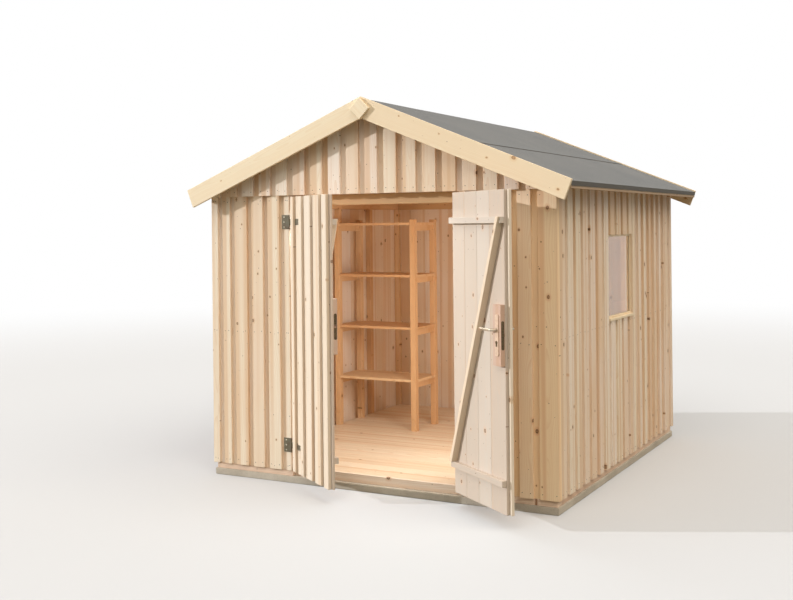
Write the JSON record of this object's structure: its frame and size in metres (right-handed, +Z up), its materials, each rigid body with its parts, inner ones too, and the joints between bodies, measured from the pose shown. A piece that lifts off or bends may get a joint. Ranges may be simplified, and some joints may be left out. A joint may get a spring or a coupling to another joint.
{
  "type": "wooden garden shed",
  "caption": "Low gabled garden shed with board-on-board timber walls, felt roof, double doors, a side window and a shelf rack inside.",
  "frame": {"origin": "centre of the walls' footprint, on the ground under the concrete base", "axes": "+Z up, the doorway faces -Y, +X to the right seen from the front"},
  "size_m": [2.82, 3.4944, 2.5648],
  "materials": {
    "concrete": "rough cast concrete",
    "base_timber": "sawn, treated",
    "floor_board": "planed, bare",
    "cladding": "planed spruce, bare",
    "frame_timber": "planed spruce, bare",
    "trim_board": "planed spruce, bare",
    "roofing_felt": "mineral-faced bitumen felt",
    "pane": "clear float glass",
    "galvanised_steel": "zinc plated",
    "lock_metal": "satin",
    "rack_wood": "planed spruce, bare"
  },
  "bodies": {
    "shed": {"concrete_base": "concrete", "side_sole_timbers": "base_timber", "end_sole_timbers": "base_timber", "threshold": "base_timber", "floor": "floor_board", "floor_joists": "base_timber", "front_wall": "cladding", "back_wall": "cladding", "left_wall": "cladding", "right_wall": "cladding", "right_wall_at_window": "cladding", "window_frame": "trim_board", "window_glass": "pane", "window_sill": "trim_board", "wall_studs": "frame_timber", "end_top_plates": "frame_timber", "side_top_plates": "frame_timber", "ridge_beam": "frame_timber", "purlins": "frame_timber", "front_gable": "cladding", "back_gable": "cladding", "gable_frames": "frame_timber", "roof_deck": "frame_timber", "roof_felt_eaves": "roofing_felt", "roof_felt_top": "roofing_felt", "front_bargeboards": "trim_board", "back_bargeboards": "trim_board", "apex_plates": "trim_board", "eave_laths": "frame_timber", "wall_hinges": "galvanised_steel", "rack_ends": "rack_wood", "rack_shelves": "rack_wood"},
    "left_leaf": {"left_leaf_boards": "cladding", "left_leaf_bracing": "frame_timber", "left_leaf_straps": "galvanised_steel", "strike_block": "frame_timber", "strike_plate": "galvanised_steel"},
    "right_leaf": {"right_leaf_boards": "cladding", "right_leaf_bracing": "frame_timber", "right_leaf_straps": "galvanised_steel", "lock_block": "frame_timber", "lock_faceplate": "galvanised_steel", "lock_plates": "lock_metal", "key_cylinder": "lock_metal"},
    "handle": {"lever_handle": "lock_metal"}
  },
  "joints": [
    {"name": "left_door", "type": "hinge", "parent": "shed", "child": "left_leaf", "pos_m": [-0.621, -1.3595, 0.085], "axis": [0, 0, -1], "range_deg": [-34.5, 133.5]},
    {"name": "right_door", "type": "hinge", "parent": "shed", "child": "right_leaf", "pos_m": [0.637, -1.3595, 0.085], "axis": [0, 0, 1], "range_deg": [-143.5, 24.5]},
    {"name": "lever", "type": "hinge", "parent": "right_leaf", "child": "handle", "pos_m": [1.10726, -1.70747, 1.137], "axis": [-0.5948, -0.8039, 0], "range_deg": [0, 35], "stiffness_Nm_per_rad": 1.5, "springref_deg": -28.65}
  ]
}
